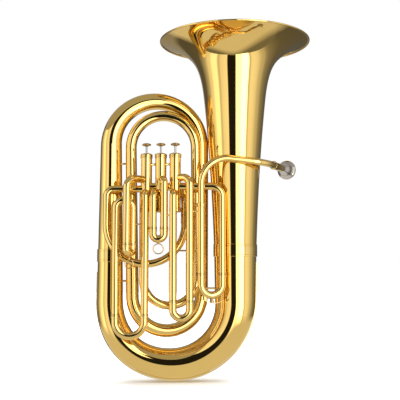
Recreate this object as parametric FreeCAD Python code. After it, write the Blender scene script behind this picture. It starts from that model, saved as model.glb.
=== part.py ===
"""Three-quarter size BB flat tuba with three top-action piston valves.

Frame: +X towards the bell side, -Y towards the valve side, +Z up the bell.
The origin is the lowest point of the bottom cap, below the middle of the bottom bow.
All sizes are millimetres.
"""
import FreeCAD, Part
import math
import os

V = FreeCAD.Vector

# ---------------------------------------------------------------- driving dimensions
WALL = 0.8                 # sheet brass of the body tubes
BODY_R = 152.5             # bottom bow, centre line
BODY_Z = 192.5             # height of the bottom bow's centre
BELL_X = BODY_R
RIM_Z = 834.0
RIM_R = 183.5
RIM_BEAD_R = 2.2
RIM_BEAD_OUT = 1.2         # the bead's middle stands this far outside the rim
RIM_FLAT = 1.6             # the bead's top is flat this far above its middle
JOINT_Z = 314.0            # the bell joins the bottom bow's long leg here
JOINT_R = 51.9
BELL_OUTLINE = [           # height and outer radius, from the joint to the rim
    (JOINT_Z, JOINT_R), (394.0, 55.0), (563.0, 65.0), (674.0, 74.8),
    (738.0, 84.3), (782.0, 102.0), (813.0, 135.5), (829.0, 167.3), (RIM_Z, RIM_R)]
BOTTOM_BOW_RADII = (31.5, 38.2, 49.8)     # left end, bottom, bell end
BOW_FULLNESS = 3.5         # the bow's left half is fuller than a true arc by this much
GUARD_T = 1.4
GUARD_HALF_W = 6.0
CAP_T = 1.8
CAP_HALF_W = 21.0
CAP_ANGLE = 28.0           # cap reaches this far each side of the bottom, degrees
GUARD_LEFT_Z = 262.0
GUARD_RIGHT_Z = 284.0
BELL_FERRULE_Z = (299.0, 329.0)
LEG_FERRULE_Z = (286.0, 317.0)

TOP_Z = 573.0              # height of the top bow's centre
TOP_BOW_RADII = (25.8, 20.0, 17.4)
LEG2 = (69.7, 16.0)        # leg between top bow and second lower bow: x, y
LOWER2_Z = 204.0
LOWER2_RADII = (15.2, 16.0, 16.2)
LEG3_BOTTOM = (-98.0, -4.0)
LEG3_TOP = (-103.5, -4.0)
TOP2_Z = 566.0
TOP2_RADII = (13.2, 12.6, 11.9)
LEG4_TOP = (55.0, -10.0)
LEG4_BOTTOM = (57.2, -10.0)
LOWER3_Z = 246.5
LOWER3_RADII = (9.4, 10.0, 10.7)
LEG5 = (-73.0, -20.0)      # leg between the third lower bow and the crossover
CROSSOVER_Z = 467.0

TUBE_R = 8.8               # outer radius of the valve tubing
TUBE_BORE = 8.1
SLEEVE_R = 9.0             # fixed slide legs
SLEEVE_BORE = 8.42
INNER_R = 8.37             # moving slide legs run in the sleeves
INNER_BORE = 7.8
RING_R = 9.9               # slide rings
RING_H = 5.0

OUTLET_Y = -46.0           # plane of the loop that leaves the third valve
OUTLET_Z = 460.0
OUTLET_X = (-159.0, 28.0)
OUTLET_LOW_Z = 374.5
OUTLET_JOIN_Z = 406.0

ROW_YAW = 8.0              # valve row turned towards the front on the bell side, degrees
VALVE_PITCH = 34.9
VALVE_MID = (-30.0, -50.0)
CASING_R = 13.2
CASING_BORE = 12.0
CASING_Z = (412.0, 539.0)
CAP_R = 14.6
TOP_CAP_Z = (534.5, 545.0)
BOTTOM_CAP_Z = (404.0, 415.0)
PISTON_R = 11.97
PISTON_Z = (440.0, 542.0)
STEM_R = 2.4
STEM_HOLE_R = 2.7
CAP_LID = 1.6              # thickness of the top caps over the bore
CAP_FLOOR = 2.0
FELT_T = 1.6
FELT_R = 7.5
BUTTON_R = 11.0
BUTTON_Z = (563.0, 571.3)
LOWER_PORT_Z = 450.0
UPPER_PORT_Z = 482.0
ROW_PORT_Z = 466.0

# slides: the two legs (x, y), sleeve end height, lowest centre-line height of the bow,
# and how far the inner legs reach up into the sleeves
SLIDES = {
    "main": (((65.7, -77.0), (116.0, -60.0)), 255.0, 207.5, 115.0),
    "first": (((-0.6, -80.0), (38.9, -80.0)), 192.0, 155.0, 105.0),
    "second": (((-48.1, -75.0), (-21.8, -75.0)), 363.0, 339.0, 55.0),
    "third_upper": (((-109.0, -92.0), (-96.0, -72.0)), 325.0, 306.0, 65.0),
    "third_lower": (((-135.5, -70.0), (-67.0, -70.0)), 160.0, 113.0, 120.0),
}

LEADPIPE_R = 8.0
LEADPIPE_BORE = 7.2
LEADPIPE_CORNER_Z = 540.0
LEADPIPE_TURN = (222.0, -77.0, 521.0)
MOUTH_ANGLE = 26.0         # mouthpiece axis, degrees from +Y towards +X
LEADPIPE_END = 60.0        # along the mouthpiece axis from the turn point
RECEIVER = (48.0, 104.0)
SHANK_R = 6.35
SHANK_DEPTH = 28.0

PULL_RING_WIRE_R = 1.25
SECOND_PULL_RING = (11.8, 13.6)    # ring radius and depth of its middle below the bow
THIRD_PULL_RING = (9.8, 16.4)

CASING_BRACE_Z = 519.0
LEADPIPE_BRACE_Z = (405.0, 283.0)
THIRD_BRACE_Z = 375.0
FIRST_BRACE_Z = 312.0
SECOND_BRACE_Z = 395.0
BODY_BRACE_Y = -4.0        # plane of the posts between the big leg and the inner leg
BELL_BRACE_Y = 6.0         # plane of the posts between the second leg and the bell

N_SECTIONS = 13            # sections of a tapered bow

# valve places
ROW = V(math.cos(math.radians(ROW_YAW)), -math.sin(math.radians(ROW_YAW)), 0)
VALVES = [V(VALVE_MID[0], VALVE_MID[1], 0) + ROW * (VALVE_PITCH * k) for k in (1, 0, -1)]
UP = V(0, 0, 1)


# ---------------------------------------------------------------- shape helpers
def unit(vector):
    return V(vector).normalize()


def at(place, z):
    """Point above or below a place in plan."""
    return V(place[0], place[1], z)


def rod(start, end, radius):
    return Part.makeCylinder(radius, (end - start).Length, start, unit(end - start))


def pipe(start, end, r_out, r_in):
    return rod(start, end, r_out).cut(rod(start, end, r_in))


def taper(start, end, r_start, r_end, wall=WALL):
    """Hollow tapered tube between two points."""
    length = (end - start).Length
    way = unit(end - start)
    outer = Part.makeCone(r_start, r_end, length, start, way)
    inner = Part.makeCone(r_start - wall, r_end - wall, length, start, way)
    return outer.cut(inner)


def path_edges(points, radii):
    """Straight runs joined by tangent arcs, one radius for each inner point."""
    edges = []
    here = V(points[0])
    for k, radius in enumerate(radii):
        corner = V(points[k + 1])
        way_in = unit(corner - points[k])
        way_out = unit(points[k + 2] - corner)
        turn = way_in.getAngle(way_out)
        reach = radius * math.tan(turn / 2)
        arc_start = corner - way_in * reach
        arc_end = corner + way_out * reach
        to_centre = unit(way_out - way_in)
        centre = corner + to_centre * (radius / math.cos(turn / 2))
        middle = centre - to_centre * radius
        if (arc_start - here).Length > 1e-4:
            edges.append(Part.LineSegment(here, arc_start).toShape())
        edges.append(Part.Arc(arc_start, middle, arc_end).toShape())
        here = arc_end
    if (V(points[-1]) - here).Length > 1e-4:
        edges.append(Part.LineSegment(here, V(points[-1])).toShape())
    return edges


def bent_tube(points, radii, r_out, r_in):
    """Hollow tube of one diameter along a bent path."""
    points = [V(p) for p in points]
    wire = Part.Wire(path_edges(points, radii))
    way = unit(points[1] - points[0])
    outer = wire.makePipe(Part.Face(Part.Wire(Part.makeCircle(r_out, points[0], way))))
    inner = wire.makePipe(Part.Face(Part.Wire(Part.makeCircle(r_in, points[0], way))))
    return outer.cut(inner)


def bow_sections(start, end, side, radii, grow, fullness=0.0):
    """Circles round a half turn from start to end; side +1 goes over the top."""
    centre = (start + end) * 0.5
    across = (end - start) * 0.5
    size = across.Length
    wires = []
    for k in range(N_SECTIONS):
        t = k / (N_SECTIONS - 1)
        angle = math.pi * t
        place = centre - across * math.cos(angle) + UP * (side * size * math.sin(angle))
        way = across * math.sin(angle) + UP * (side * size * math.cos(angle))
        if t < 0.5:
            place += (place - centre).normalize() * (fullness * math.sin(2 * angle) ** 2)
        wires.append(Part.Wire(Part.makeCircle(taper_law(t, radii) + grow, place, way)))
    return wires


def taper_law(t, radii):
    """Smooth radius through the start, middle and end values."""
    first, middle, last = radii
    return (first * (1 - t) * (1 - 2 * t) + middle * 4 * t * (1 - t)
            + last * t * (2 * t - 1))


def bow_solid(start, end, side, radii, grow=0.0, fullness=0.0):
    return Part.makeLoft(bow_sections(start, end, side, radii, grow, fullness), True, False)


def bottom_bow_solid(grow):
    return bow_solid(LEFT, RIGHT, -1, BOTTOM_BOW_RADII, grow, BOW_FULLNESS)


def tapered_bow(start, end, side, radii, wall=WALL):
    outer = bow_solid(start, end, side, radii)
    return outer.cut(bow_solid(start, end, side, radii, -wall))


def torus_ring(centre, axis, ring_r, wire_r):
    return Part.makeTorus(ring_r, wire_r, centre, axis)


def collar(place, z_low, z_high, r_out, r_in, edge=0.8):
    """Ferrule with rounded outer edges."""
    height = z_high - z_low
    body = Part.makeCylinder(r_out, height, at(place, z_low))
    outer_edges = [e for e in body.Edges if len(e.Vertexes) == 1]
    body = body.makeFillet(edge, outer_edges)
    return body.cut(Part.makeCylinder(r_in, height + 2, at(place, z_low - 1)))


def write(name, shape):
    solids = shape.Solids
    for solid in solids:
        if not solid.isValid() or not solid.isClosed():
            print("check", name, "valid", solid.isValid(), "closed", solid.isClosed())
    whole = solids[0] if len(solids) == 1 else Part.makeCompound(solids)
    whole.exportStep("parts/%s.step" % name)
    print("%-28s solids %2d volume %10.1f" % (name, len(solids), whole.Volume))


def group(shapes):
    return Part.makeCompound([s for shape in shapes for s in shape.Solids])


# ---------------------------------------------------------------- bell and body
def bell_curve(inset):
    """Spline of the bell's side at a depth inside the outer surface."""
    points = [V(r, 0, z) for z, r in BELL_OUTLINE]
    spline = Part.BSplineCurve()
    spline.interpolate(points)
    if not inset:
        return spline
    moved = []
    for point in points:
        tangent = V(spline.tangent(spline.parameter(point))[0])
        normal = unit(V(-tangent.z, 0, tangent.x))
        moved.append(point + normal * inset)
    moved[0].z = JOINT_Z
    inner = Part.BSplineCurve()
    inner.interpolate(moved)
    return inner


def revolve_profile(edges, axis_x):
    face = Part.Face(Part.Wire(edges))
    solid = face.revolve(V(0, 0, 0), UP, 360)
    solid.translate(V(axis_x, 0, 0))
    return solid


def line(a, b):
    return Part.LineSegment(a, b).toShape()


def bell():
    outer = bell_curve(0.0).toShape()
    inner = bell_curve(WALL).toShape()
    ends = [outer.Vertexes[0].Point, outer.Vertexes[-1].Point,
            inner.Vertexes[-1].Point, inner.Vertexes[0].Point]
    return revolve_profile([outer, line(ends[1], ends[2]), inner, line(ends[3], ends[0])], BELL_X)


def rim_wire():
    """D-shaped bead round the bell's edge, flat on top where the bell stands on its rim."""
    middle = V(RIM_R + RIM_BEAD_OUT, 0, RIM_Z)
    half_flat = math.sqrt(RIM_BEAD_R ** 2 - RIM_FLAT ** 2)
    flat_out = middle + V(half_flat, 0, RIM_FLAT)
    flat_in = middle + V(-half_flat, 0, RIM_FLAT)
    below = math.radians(-106.0)
    foot = middle + V(RIM_BEAD_R * math.cos(below), 0, RIM_BEAD_R * math.sin(below))
    outside = middle + V(RIM_BEAD_R, 0, 0)
    return revolve_profile([Part.Arc(foot, outside, flat_out).toShape(),
                            line(flat_out, flat_in), line(flat_in, foot)], BELL_X)


def bow_long_leg():
    """The bottom bow's straight leg up to the bell joint."""
    return taper(RIGHT, V(BELL_X, 0, JOINT_Z), BOTTOM_BOW_RADII[2], JOINT_R)


def long_leg_radius(z):
    share = (z - BODY_Z) / (JOINT_Z - BODY_Z)
    return BOTTOM_BOW_RADII[2] + (JOINT_R - BOTTOM_BOW_RADII[2]) * share


def long_leg_skin(grow, z_top):
    """Solid of the bow's long leg, grown, up to a height."""
    low = BOTTOM_BOW_RADII[2] + grow
    return Part.makeCone(low, long_leg_radius(z_top) + grow, z_top - BODY_Z, RIGHT)


def bell_ferrule():
    """Band over the joint, bored to both tubes."""
    low, high = BELL_FERRULE_Z
    clear = 0.02
    blank = collar((BELL_X, 0), low, high, 54.0, 40.0)
    bell_r = bell_radius(high)
    upper = Part.makeCone(JOINT_R + clear, bell_r + clear, high - JOINT_Z, V(BELL_X, 0, JOINT_Z))
    return blank.cut(long_leg_skin(clear, JOINT_Z)).cut(upper)


def bell_radius(z):
    """Outer radius of the bell at a height."""
    level = Part.LineSegment(V(0, 0, z), V(300.0, 0, z))
    return bell_curve(0.0).intersectCC(level)[0].X


LEFT = V(-BODY_R, 0, BODY_Z)
RIGHT = V(BODY_R, 0, BODY_Z)


def leg_skin(grow, z_top):
    """Solid of the big left leg, grown, up to a height."""
    share = (z_top - BODY_Z) / (TOP_Z - BODY_Z)
    low = BOTTOM_BOW_RADII[0]
    high = low + (TOP_BOW_RADII[0] - low) * share
    return Part.makeCone(low + grow, high + grow, z_top - BODY_Z, LEFT)


def outer_strip(half_width, grow):
    """Skin over the outside of the bottom bow and both legs, cut to a strip."""
    bow = bottom_bow_solid(grow)
    left = leg_skin(grow, GUARD_LEFT_Z)
    right = long_leg_skin(grow, GUARD_RIGHT_Z)
    slab = Part.makeBox(900, 2 * half_width, 500, V(-450, -half_width, -80))
    hole = Part.makeBox(2 * BODY_R, 900, 900, V(-BODY_R, -450, BODY_Z))
    disc = Part.makeCylinder(BODY_R, 900, V(0, -450, BODY_Z), V(0, 1, 0))
    pieces = [p.common(slab).cut(hole).cut(disc) for p in (bow, left, right)]
    return pieces


def wedge():
    """Sector below the bow's centre that the bottom cap covers."""
    reach = 400.0
    side = reach * math.tan(math.radians(CAP_ANGLE))
    centre = V(0, -100, BODY_Z)
    corners = [centre, centre + V(-side, 0, -reach), centre + V(side, 0, -reach), centre]
    return Part.Face(Part.makePolygon(corners)).extrude(V(0, 200, 0))


def guard_and_cap():
    bare = bottom_bow_solid(0.0)
    sector = wedge()
    bow, left, right = outer_strip(GUARD_HALF_W, GUARD_T)
    strips = [bow.cut(bare).cut(sector),
              left.cut(leg_skin(0.02, GUARD_LEFT_Z)),
              right.cut(long_leg_skin(0.02, GUARD_RIGHT_Z))]
    guard = Part.makeCompound([s for strip in strips for s in strip.Solids if s.Volume > 200])
    cap = outer_strip(CAP_HALF_W, CAP_T)[0].common(sector).cut(bare)
    return guard, cap


def large_branch():
    return taper(LEFT, V(-BODY_R, 0, TOP_Z), BOTTOM_BOW_RADII[0], TOP_BOW_RADII[0])


def branch_ferrule():
    low, high = LEG_FERRULE_Z
    return collar((-BODY_R, 0), low, high, 32.0, 24.0).cut(leg_skin(0.02, high + 5))


def body_tubes():
    """Tapered bows and legs from the third lower bow to the top bow."""
    top_start = V(-BODY_R, 0, TOP_Z)
    leg2_top = at(LEG2, TOP_Z)
    leg2_low = at(LEG2, LOWER2_Z)
    leg3_low = at(LEG3_BOTTOM, LOWER2_Z)
    leg3_top = at(LEG3_TOP, TOP2_Z)
    leg4_top = at(LEG4_TOP, TOP2_Z)
    leg4_low = at(LEG4_BOTTOM, LOWER3_Z)
    leg5_low = at(LEG5, LOWER3_Z)
    return {
        "top_bow": tapered_bow(top_start, leg2_top, 1, TOP_BOW_RADII),
        "second_branch": taper(leg2_low, leg2_top, LOWER2_RADII[2], TOP_BOW_RADII[2]),
        "second_lower_bow": tapered_bow(leg3_low, leg2_low, -1, LOWER2_RADII),
        "third_branch": taper(leg3_low, leg3_top, LOWER2_RADII[0], TOP2_RADII[0]),
        "inner_top_bow": tapered_bow(leg3_top, leg4_top, 1, TOP2_RADII),
        "fourth_branch": taper(leg4_low, leg4_top, LOWER3_RADII[2], TOP2_RADII[2]),
        "third_lower_bow": tapered_bow(leg5_low, leg4_low, -1, LOWER3_RADII),
    }


def crossover():
    """Leg up from the third lower bow, across behind the valves, down to the outlet loop."""
    right = OUTLET_X[1]
    return bent_tube(
        [at(LEG5, LOWER3_Z), at(LEG5, CROSSOVER_Z), V(right - 4.0, LEG5[1], CROSSOVER_Z),
         V(right, OUTLET_Y, OUTLET_JOIN_Z + 22.0), V(right, OUTLET_Y, OUTLET_JOIN_Z)],
        [18.0, 14.0, 40.0], TUBE_R, TUBE_BORE)


def outlet_loop():
    """Tube from the third valve, left, down and round under the valves."""
    left, right = OUTLET_X
    big = (right - left) / 2
    low = OUTLET_LOW_Z - big
    middle = (left + right) / 2
    points = [V(VALVES[2].x, OUTLET_Y, OUTLET_Z), V(left, OUTLET_Y, OUTLET_Z),
              V(left, OUTLET_Y, low), V(right, OUTLET_Y, low),
              V(right, OUTLET_Y, OUTLET_JOIN_Z)]
    tube = bent_tube(points, [18.0, big - 0.001, big - 0.001], TUBE_R, TUBE_BORE)
    return tube.cut(rod(at(VALVES[2], 300), at(VALVES[2], 600), CASING_R))


# ---------------------------------------------------------------- valves
def port_way(valve, leg):
    return unit(V(leg[0] - valve.x, leg[1] - valve.y, 0))


# each port: valve number, direction in plan, height
PORTS = [
    (0, port_way(VALVES[0], SLIDES["main"][0][1]), ROW_PORT_Z),
    (0, port_way(VALVES[0], SLIDES["first"][0][1]), UPPER_PORT_Z + 4),
    (0, port_way(VALVES[0], SLIDES["first"][0][0]), LOWER_PORT_Z),
    (0, ROW * -1, ROW_PORT_Z),
    (1, ROW, ROW_PORT_Z),
    (1, ROW * -1, ROW_PORT_Z),
    (1, port_way(VALVES[1], SLIDES["second"][0][1]), UPPER_PORT_Z),
    (1, port_way(VALVES[1], SLIDES["second"][0][0]), LOWER_PORT_Z),
    (2, ROW, ROW_PORT_Z),
    (2, V(-1, 0, 0), OUTLET_Z),
    (2, port_way(VALVES[2], SLIDES["third_upper"][0][0]), UPPER_PORT_Z),
    (2, port_way(VALVES[2], SLIDES["third_lower"][0][1]), LOWER_PORT_Z),
]


def casing(number):
    place = VALVES[number]
    body = pipe(at(place, CASING_Z[0]), at(place, CASING_Z[1]), CASING_R, CASING_BORE)
    for valve, way, z in PORTS:
        if valve == number:
            start = at(place, z)
            body = body.cut(rod(start, start + way * 30, TUBE_BORE))
    return body


def top_cap(place):
    low, high = TOP_CAP_Z
    body = Part.makeCylinder(CAP_R, high - low, at(place, low))
    rim_edges = [e for e in body.Edges if len(e.Vertexes) == 1 and e.CenterOfMass.z > high - 1]
    body = body.makeFillet(1.5, rim_edges)
    skirt = Part.makeCylinder(CASING_R, CASING_Z[1] - low, at(place, low))
    inside = Part.makeCylinder(CASING_BORE, high - CAP_LID - low, at(place, low))
    hole = Part.makeCylinder(STEM_HOLE_R, 20, at(place, high - 10))
    groove = torus_ring(at(place, low + 3.5), UP, CAP_R + 0.3, 0.9)
    return body.cut(skirt).cut(inside).cut(hole).cut(groove)


def bottom_cap(place):
    low, high = BOTTOM_CAP_Z
    body = Part.makeCylinder(CAP_R, high - low, at(place, low))
    rim_edges = [e for e in body.Edges if len(e.Vertexes) == 1 and e.CenterOfMass.z < low + 1]
    body = body.makeFillet(2.0, rim_edges)
    skirt = Part.makeCylinder(CASING_R, high - CASING_Z[0] + 1, at(place, CASING_Z[0]))
    inside = Part.makeCylinder(CASING_BORE - 1, 30, at(place, low + CAP_FLOOR))
    vent = Part.makeCylinder(2.0, 10, at(place, low - 1))
    return body.cut(skirt).cut(inside).cut(vent)


def piston(number):
    """Shell with solid ends and three cross tubes for the ports."""
    place = VALVES[number]
    low, high = PISTON_Z
    end = 3.0
    shell = Part.makeCylinder(PISTON_R, high - low, at(place, low))
    hollow = Part.makeCylinder(PISTON_R - 1.0, high - low - 2 * end, at(place, low + end))
    body = shell.cut(hollow)
    for z in (LOWER_PORT_Z + 2, LOWER_PORT_Z + 22, LOWER_PORT_Z + 42):
        start = at(place, z) - ROW * 20
        tube = rod(start, start + ROW * 40, 8.0).common(shell)
        body = body.fuse(tube)
        body = body.cut(rod(start, start + ROW * 40, 7.3))
    return body


def stem(place):
    low = PISTON_Z[1]
    return rod(at(place, low), at(place, BUTTON_Z[0] + 1.5), STEM_R)


def button(place):
    """Domed finger button with a thick rounded edge and a foot for the stem."""
    low, high = BUTTON_Z
    foot = [V(0, 0, low + 1.5), V(STEM_R, 0, low + 1.5), V(STEM_R, 0, low), V(4.2, 0, low),
            V(5.0, 0, low + 0.9), V(BUTTON_R - 2.4, 0, low + 1.9)]
    edges = [line(a, b) for a, b in zip(foot, foot[1:])]
    shoulder = V(BUTTON_R - 1.8, 0, low + 6.3)
    edges.append(Part.Arc(foot[-1], V(BUTTON_R, 0, low + 4.2), shoulder).toShape())
    top = V(0, 0, high)
    rise = high - shoulder.z
    dome = (shoulder.x ** 2 + rise ** 2) / (2 * rise)
    half = shoulder.x / 2
    crown = V(half, 0, high - dome + math.sqrt(dome ** 2 - half ** 2))
    edges.append(Part.Arc(shoulder, crown, top).toShape())
    edges.append(line(top, foot[0]))
    solid = Part.Face(Part.Wire(edges)).revolve(V(0, 0, 0), UP, 360)
    solid.translate(V(place.x, place.y, 0))
    return solid


def felt(place):
    """Damper felt on the stem, resting on the top cap."""
    low = TOP_CAP_Z[1]
    return pipe(at(place, low), at(place, low + FELT_T), FELT_R, STEM_HOLE_R)


def valve_spring(place):
    """Return spring below the piston, as its coils one over another."""
    coils = 5
    coil_r = 8.6
    gap = 1.3
    low = BOTTOM_CAP_Z[0] + CAP_FLOOR + gap
    high = PISTON_Z[0] - gap
    step = (high - low) / (coils - 1)
    rings = [torus_ring(at(place, low + step * k), UP, coil_r, 1.0) for k in range(coils)]
    side = V(coil_r, 0, 0)
    link = rod(at(place, low) + side, at(place, high) + side, 0.9)
    return rings[0].multiFuse(rings[1:] + [link])


def row_knuckles():
    tubes = []
    for first, second in ((0, 1), (1, 2)):
        a = at(VALVES[first], ROW_PORT_Z)
        b = at(VALVES[second], ROW_PORT_Z)
        tube = pipe(a, b, TUBE_R, TUBE_BORE)
        for place in (VALVES[first], VALVES[second]):
            tube = tube.cut(rod(at(place, 430), at(place, 510), CASING_R))
        tubes.append(tube)
    return group(tubes)


def casing_braces():
    """Waisted posts between neighbouring casings, near the top."""
    posts = []
    reach = VALVE_PITCH / 2 - CASING_R + 0.8
    for first, second in ((0, 1), (1, 2)):
        middle = at((VALVES[first] + VALVES[second]) * 0.5, CASING_BRACE_Z)
        halves = []
        for place, way in ((VALVES[first], ROW), (VALVES[second], ROW * -1)):
            half = Part.makeCone(1.6, 4.2, reach, middle, way)
            halves.append(half.cut(rod(at(place, 480), at(place, 560), CASING_R)))
        posts.append(halves[0].fuse(halves[1]))
    return group(posts)


# ---------------------------------------------------------------- slides
def valve_leg(valve, leg, port_z, radius, low_z):
    """Tube from a valve port out to a leg and down to the sleeve's end."""
    start = at(valve, port_z)
    tube = bent_tube([start, at(leg, port_z), at(leg, low_z)], [radius], SLEEVE_R, SLEEVE_BORE)
    return tube.cut(rod(at(valve, 380), at(valve, 560), CASING_R))


def slide_rings(name):
    """Ring at the lower end of each fixed leg."""
    legs, end_z, _, _ = SLIDES[name]
    return [collar(leg, end_z, end_z + RING_H, RING_R, SLEEVE_R) for leg in legs]


def moving_slide(name):
    """Bow with its rings and the two inner legs that run in the sleeves."""
    legs, end_z, low_z, reach = SLIDES[name]
    left, right = [V(leg[0], leg[1], 0) for leg in legs]
    radius = (right - left).Length / 2
    centre_z = low_z + radius
    top_z = end_z - 0.4
    middle = (left + right) * 0.5
    edges = [Part.LineSegment(at(left, top_z), at(left, centre_z)).toShape(),
             Part.Arc(at(left, centre_z), at(middle, low_z), at(right, centre_z)).toShape(),
             Part.LineSegment(at(right, centre_z), at(right, top_z)).toShape()]
    wire = Part.Wire(edges)
    down = V(0, 0, -1)
    outer = wire.makePipe(Part.Face(Part.Wire(Part.makeCircle(SLEEVE_R, at(left, top_z), down))))
    bore = wire.makePipe(Part.Face(Part.Wire(Part.makeCircle(INNER_BORE, at(left, top_z), down))))
    pieces = []
    for leg in (left, right):
        pieces.append(Part.makeCylinder(INNER_R, reach + 1, at(leg, top_z - 1)))
        pieces.append(collar(leg, top_z - RING_H, top_z, RING_R, SLEEVE_R - 0.5))
    body = outer.multiFuse(pieces).cut(bore)
    for leg in (left, right):
        body = body.cut(Part.makeCylinder(INNER_BORE, reach + 2, at(leg, top_z - 1)))
    return body


def pull_ring(name, size):
    """Ring with a small foot under a slide bow."""
    ring_r, drop = size
    legs, _, low_z, _ = SLIDES[name]
    x = (legs[0][0] + legs[1][0]) / 2
    y = (legs[0][1] + legs[1][1]) / 2
    bottom = low_z - SLEEVE_R
    ring = torus_ring(V(x, y, bottom - drop), V(0, 1, 0), ring_r, PULL_RING_WIRE_R)
    foot = rod(V(x, y, bottom - drop + ring_r), V(x, y, bottom + 1.0), 2.0)
    bow_y = V(x, y, low_z)
    legs_axis = unit(V(legs[1][0] - legs[0][0], legs[1][1] - legs[0][1], 0))
    trim = rod(bow_y - legs_axis * 3, bow_y + legs_axis * 3, SLEEVE_R)
    return ring.fuse(foot).cut(trim)


def first_tubing():
    legs, end_z, _, _ = SLIDES["first"]
    lower = valve_leg(VALVES[0], legs[0], LOWER_PORT_Z, 11.5, end_z)
    upper = valve_leg(VALVES[0], legs[1], UPPER_PORT_Z + 4, 20.0, end_z)
    return group([lower, upper])


def second_tubing():
    legs, end_z, _, _ = SLIDES["second"]
    lower = valve_leg(VALVES[1], legs[0], LOWER_PORT_Z, 14.0, end_z)
    upper = valve_leg(VALVES[1], legs[1], UPPER_PORT_Z, 11.5, end_z)
    return group([lower, upper])


def third_upper_tubing():
    """Out from the third valve to the upper slide, and from it over to the lower one."""
    legs, end_z, _, _ = SLIDES["third_upper"]
    far = SLIDES["third_lower"][0][0]
    far_end = SLIDES["third_lower"][1]
    out = valve_leg(VALVES[2], legs[0], UPPER_PORT_Z, 24.0, end_z)
    start = at(legs[1], end_z)
    over = V(far[0] - legs[1][0], far[1] - legs[1][1], 0)
    half = over.Length / 2
    centre_z = 412.0
    top = at(legs[1], centre_z) + over * 0.5 + UP * half
    edges = [line(start, at(legs[1], centre_z)),
             Part.Arc(at(legs[1], centre_z), top, at(far, centre_z)).toShape(),
             line(at(far, centre_z), at(far, far_end))]
    wire = Part.Wire(edges)
    outer = wire.makePipe(Part.Face(Part.Wire(Part.makeCircle(SLEEVE_R, start, UP))))
    inner = wire.makePipe(Part.Face(Part.Wire(Part.makeCircle(SLEEVE_BORE, start, UP))))
    return group([out, outer.cut(inner)])


def third_lower_tubing():
    legs, end_z, _, _ = SLIDES["third_lower"]
    return valve_leg(VALVES[2], legs[1], LOWER_PORT_Z, 11.5, end_z)


def main_inlet():
    """Fixed right leg of the main slide, over to the first valve."""
    legs, end_z, _, _ = SLIDES["main"]
    return valve_leg(VALVES[0], legs[1], ROW_PORT_Z, 24.0, end_z)


# ---------------------------------------------------------------- leadpipe and mouthpiece
MOUTH = V(math.sin(math.radians(MOUTH_ANGLE)), math.cos(math.radians(MOUTH_ANGLE)), 0)
TURN = V(*LEADPIPE_TURN)


def leadpipe():
    leg, end_z = SLIDES["main"][0][0], SLIDES["main"][1]
    join_z = 420.0
    lower = pipe(at(leg, end_z), at(leg, join_z), SLEEVE_R, SLEEVE_BORE)
    joint = collar(leg, join_z - 5, join_z + 5, RING_R, LEADPIPE_BORE)
    upper = bent_tube([at(leg, join_z), at(leg, LEADPIPE_CORNER_Z), TURN,
                       TURN + MOUTH * LEADPIPE_END], [62.0, 58.0], LEADPIPE_R, LEADPIPE_BORE)
    return lower.fuse(joint).fuse(upper)


def along(distance):
    return TURN + MOUTH * distance


def turned(outline, origin):
    """Solid turned about the mouthpiece axis from (distance, radius) points."""
    points = [V(r, 0, d) for d, r in outline]
    wire = Part.makePolygon(points + [points[0]])
    solid = Part.Face(wire).revolve(V(0, 0, 0), UP, 360)
    solid.Placement = FreeCAD.Placement(origin, FreeCAD.Rotation(UP, MOUTH))
    return solid


def receiver():
    low, high = RECEIVER
    length = high - low
    step = LEADPIPE_END - low
    outline = [(0, LEADPIPE_R), (0, 9.4), (1.5, 10.6), (5.0, 10.6), (6.5, 9.2),
               (length - 2.5, 9.2), (length - 2.0, 9.8), (length, 9.8), (length, SHANK_R + 0.06),
               (length - SHANK_DEPTH - 1, SHANK_R + 0.06), (length - SHANK_DEPTH - 1, 6.0),
               (step, 6.0), (step, LEADPIPE_R)]
    return turned(outline, along(low))


def mouthpiece():
    """Shank, cup and rim around one axis."""
    start = V(0, 0, -SHANK_DEPTH)
    outer = [V(SHANK_R, 0, -SHANK_DEPTH), V(SHANK_R, 0, 1.0), V(7.2, 0, 2.5), V(8.2, 0, 17.0)]
    edges = [line(a, b) for a, b in zip(outer, outer[1:])]
    cup = Part.BSplineCurve()
    cup.interpolate([outer[-1], V(11.8, 0, 24.0), V(15.6, 0, 33.0), V(17.6, 0, 44.0),
                     V(20.5, 0, 48.6)])
    edges.append(cup.toShape())
    rim_low = V(23.6, 0, 50.2)
    rim_out = V(24.2, 0, 53.0)
    rim_top = V(20.0, 0, 57.4)
    rim_in = V(16.2, 0, 54.4)
    edges.append(line(V(20.5, 0, 48.6), rim_low))
    edges.append(line(rim_low, rim_out))
    edges.append(Part.Arc(rim_out, V(22.8, 0, 56.3), rim_top).toShape())
    edges.append(Part.Arc(rim_top, V(17.4, 0, 56.4), rim_in).toShape())
    bowl = Part.BSplineCurve()
    bowl.interpolate([rim_in, V(15.2, 0, 42.0), V(10.0, 0, 29.0), V(4.0, 0, 20.0)])
    edges.append(bowl.toShape())
    edges.append(line(V(4.0, 0, 20.0), V(5.4, 0, -SHANK_DEPTH)))
    edges.append(line(V(5.4, 0, -SHANK_DEPTH), V(SHANK_R, 0, -SHANK_DEPTH)))
    solid = Part.Face(Part.Wire(edges)).revolve(V(0, 0, 0), UP, 360)
    solid.Placement = FreeCAD.Placement(along(RECEIVER[1]), FreeCAD.Rotation(UP, MOUTH))
    return solid


# ---------------------------------------------------------------- braces
def brace(start, end, trims, radius=1.7, flange=0.0):
    """Thin post between two tubes; trims are (place, radius) of upright tubes."""
    post = rod(start, end, radius)
    if flange:
        middle = (start + end) * 0.5
        for way in (unit(end - start), unit(start - end)):
            post = post.fuse(Part.makeCone(flange, radius, flange, middle, way))
    for (x, y), r in trims:
        post = post.cut(rod(V(x, y, 0), V(x, y, 900), r))
    return post.Solids[0] if len(post.Solids) == 1 else max(post.Solids, key=lambda s: s.Volume)


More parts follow.
